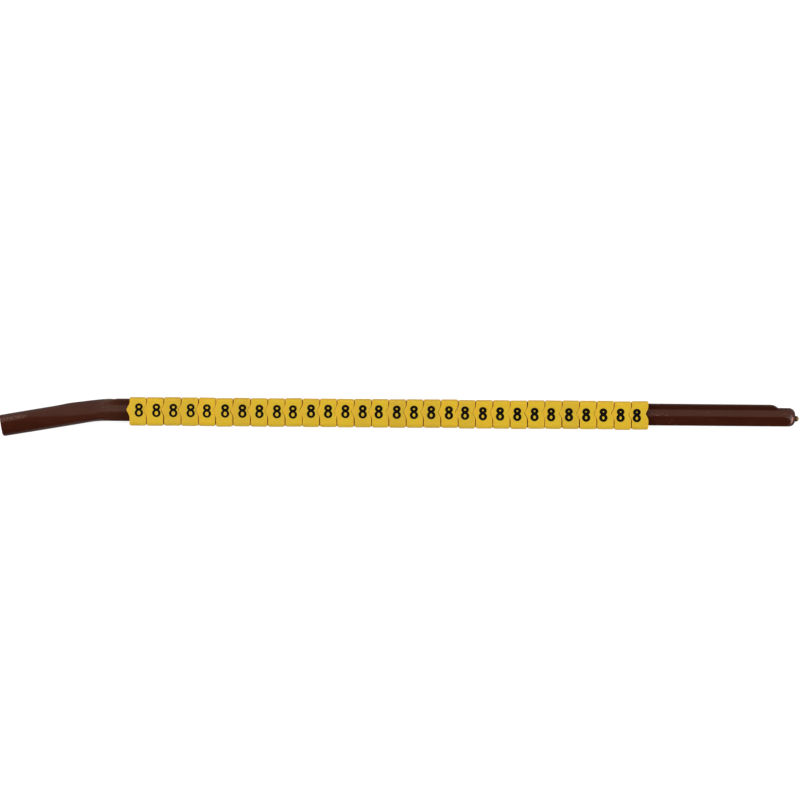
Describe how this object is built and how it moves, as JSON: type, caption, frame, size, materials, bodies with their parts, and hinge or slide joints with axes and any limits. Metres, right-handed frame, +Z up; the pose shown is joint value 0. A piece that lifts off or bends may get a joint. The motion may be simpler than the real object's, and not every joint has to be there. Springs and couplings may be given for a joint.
{
  "type": "cable marker",
  "caption": "Yellow C-shaped clip-on cable markers with a printed digit, nested point to notch along a brown ribbed hexagonal applicator wand that has a bent grip and a rounded tip.",
  "frame": {"origin": "on the surface that the markers' flat backs lie on, under the middle of the overall box", "axes": "+X along the rod towards its tip, +Y to the rib side of the rod, +Z up, out of the printed faces"},
  "size_m": [0.1848, 0.0094, 0.0066],
  "materials": {
    "wand_plastic": "dark brown moulded plastic with a soft gloss",
    "marker_plastic": "yellow flexible plastic with a satin surface",
    "print_ink": "black printed ink"
  },
  "bodies": {
    "root": {"wand": "wand_plastic", "marker_01": "marker_plastic", "marker_02": "marker_plastic", "marker_03": "marker_plastic", "marker_04": "marker_plastic", "marker_05": "marker_plastic", "marker_06": "marker_plastic", "marker_07": "marker_plastic", "marker_08": "marker_plastic", "marker_09": "marker_plastic", "marker_10": "marker_plastic", "marker_11": "marker_plastic", "marker_12": "marker_plastic", "marker_13": "marker_plastic", "marker_14": "marker_plastic", "marker_15": "marker_plastic", "marker_16": "marker_plastic", "marker_17": "marker_plastic", "marker_18": "marker_plastic", "marker_19": "marker_plastic", "marker_20": "marker_plastic", "marker_21": "marker_plastic", "marker_22": "marker_plastic", "marker_23": "marker_plastic", "marker_24": "marker_plastic", "marker_25": "marker_plastic", "marker_26": "marker_plastic", "marker_27": "marker_plastic", "marker_28": "marker_plastic", "marker_29": "marker_plastic", "marker_30": "marker_plastic"}
  },
  "joints": []
}
